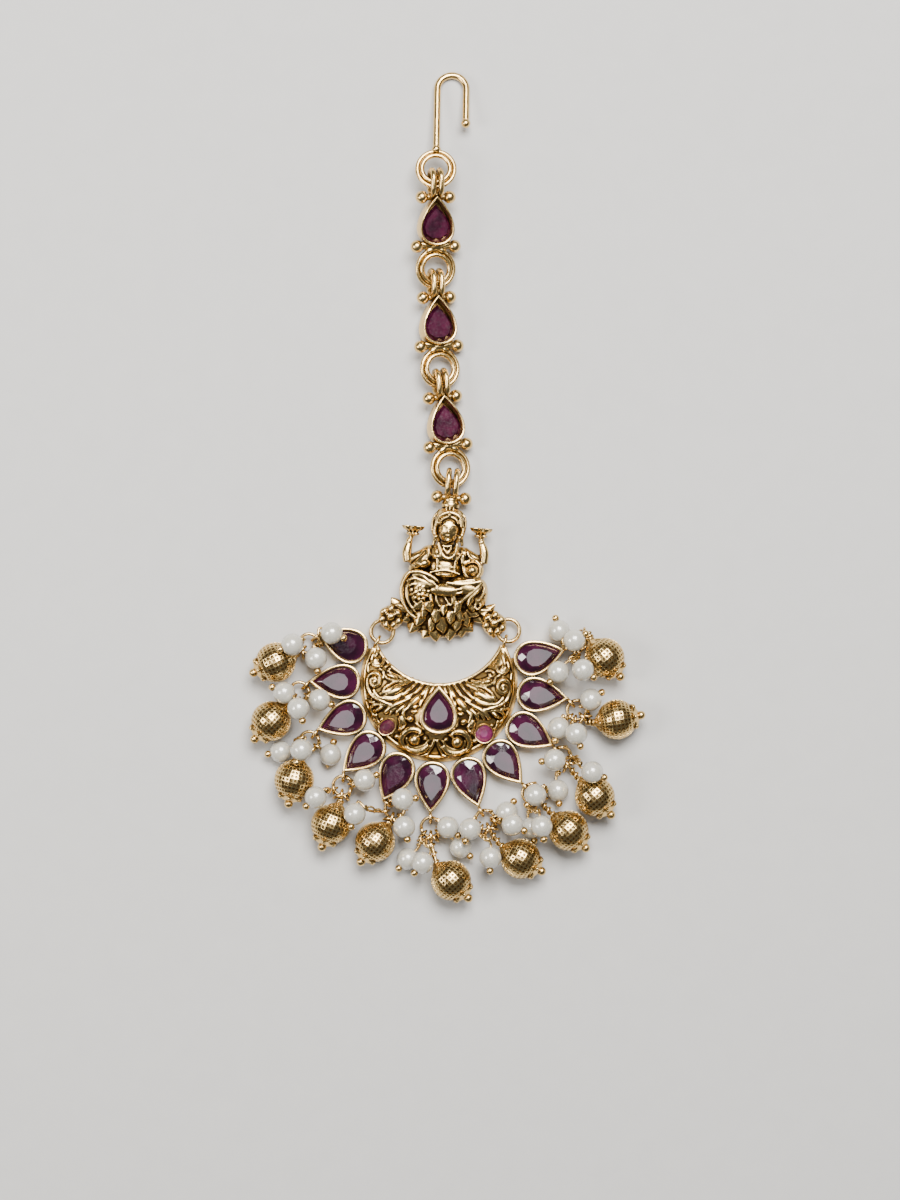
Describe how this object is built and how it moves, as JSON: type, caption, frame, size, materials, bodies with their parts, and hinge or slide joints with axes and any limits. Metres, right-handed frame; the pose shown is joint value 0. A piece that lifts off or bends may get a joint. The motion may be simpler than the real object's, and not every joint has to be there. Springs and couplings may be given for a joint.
{
  "type": "maang tikka",
  "caption": "Forehead jewel lying flat: a hooked chain of pear-stone links, a seated figure on a lotus, and a crescent fringed with stones, gold beads and pearls.",
  "frame": {"origin": "middle of the whole jewel's box in plan, on the surface it lies on", "axes": "+Y up the chain to the hook, +X to the wearer's left as the jewel is seen from its front, +Z out of the jewel's face"},
  "size_m": [0.0492, 0.1034, 0.0067],
  "materials": {
    "antique_gold": "antiqued gold plate",
    "bead_gold": "antiqued gold plate",
    "ruby_stone": "polished",
    "pink_stone": "polished",
    "pearl": "pearl lustre"
  },
  "bodies": {
    "root": {"bead_drop_01": "bead_gold", "bead_drop_02": "bead_gold", "bead_drop_03": "bead_gold", "bead_drop_04": "bead_gold", "bead_drop_05": "bead_gold", "bead_drop_06": "bead_gold", "bead_drop_07": "bead_gold", "bead_drop_08": "bead_gold", "bead_drop_09": "bead_gold", "bead_drop_10": "bead_gold", "bead_drop_11": "bead_gold", "chain_link_1": "antique_gold", "chain_link_2": "antique_gold", "chain_link_3": "antique_gold", "crescent": "antique_gold", "crescent_stone_centre": "ruby_stone", "crescent_stone_left": "ruby_stone", "crescent_stone_right": "pink_stone", "hair_hook": "antique_gold", "link_stone_1": "ruby_stone", "link_stone_2": "ruby_stone", "link_stone_3": "ruby_stone", "pearl_drops_01": "pearl", "pearl_drops_02": "pearl", "pearl_drops_03": "pearl", "pearl_drops_04": "pearl", "pearl_drops_05": "pearl", "pearl_drops_06": "pearl", "pearl_drops_07": "pearl", "pearl_drops_08": "pearl", "pearl_drops_09": "pearl", "pearl_drops_10": "pearl", "pearl_drops_11": "pearl", "petal_stone_01": "ruby_stone", "petal_stone_02": "ruby_stone", "petal_stone_03": "ruby_stone", "petal_stone_04": "ruby_stone", "petal_stone_05": "ruby_stone", "petal_stone_06": "ruby_stone", "petal_stone_07": "ruby_stone", "petal_stone_08": "ruby_stone", "petal_stone_09": "ruby_stone", "petal_stone_10": "ruby_stone", "petal_stone_11": "ruby_stone", "seated_figure": "antique_gold", "tip_ring_left": "antique_gold", "tip_ring_right": "antique_gold"}
  },
  "joints": []
}
